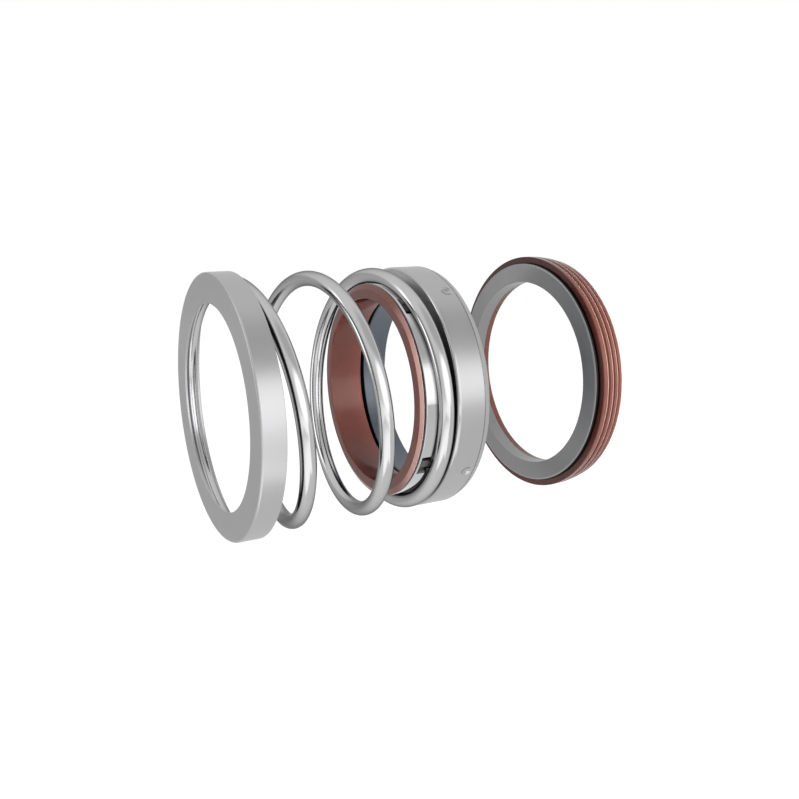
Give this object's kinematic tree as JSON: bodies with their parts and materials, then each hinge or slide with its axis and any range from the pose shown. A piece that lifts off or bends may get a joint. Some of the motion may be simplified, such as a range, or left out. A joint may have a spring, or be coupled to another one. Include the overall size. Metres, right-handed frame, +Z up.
{
  "type": "component mechanical seal",
  "caption": "Rubber bellows shaft seal with one coil spring, a pressed retainer and holder, and a separate stationary seat ring in a ribbed rubber boot.",
  "frame": {"origin": "centre of the mating ring's lapped face, on the shaft's centre line", "axes": "+X along the shaft from the rotating head to the stationary seat, +Z up"},
  "size_m": [0.1542, 0.1022, 0.1022],
  "materials": {
    "holder_steel": "pressed stainless sheet, satin",
    "spring_wire": "drawn stainless wire, polished",
    "bellows_rubber": "moulded brown fluorocarbon rubber",
    "band_steel": "pressed stainless strip, satin",
    "retainer_steel": "pressed stainless sheet, satin",
    "primary_face": null,
    "mating_face": null,
    "boot_rubber": "moulded brown fluorocarbon rubber"
  },
  "bodies": {
    "seat": {"mating_ring": "mating_face", "seat_boot": "boot_rubber"},
    "holder": {"spring_holder": "holder_steel"},
    "coil": {"spring": "spring_wire"},
    "head": {"retainer": "retainer_steel", "primary_ring": "primary_face"},
    "tail": {"drive_band": "band_steel", "bellows": "bellows_rubber"}
  },
  "joints": [
    {"name": "head_engage", "type": "slide", "parent": "seat", "child": "holder", "axis": [1, 0, 0], "range_m": [0, 0.0497]},
    {"name": "head_spin", "type": "hinge", "parent": "holder", "child": "coil", "pos_m": [-0.1405, 0, 0], "axis": [1, 0, 0], "continuous": true},
    {"name": "spring_travel", "type": "slide", "parent": "coil", "child": "head", "axis": [-1, 0, 0], "range_m": [0, 0.024], "stiffness_N_per_m": 6000, "deforming": ["spring"]},
    {"name": "face_float", "type": "slide", "parent": "head", "child": "tail", "axis": [-1, 0, 0], "range_m": [-0.0004, 0.0015], "stiffness_N_per_m": 15000, "deforming": ["bellows"]}
  ]
}
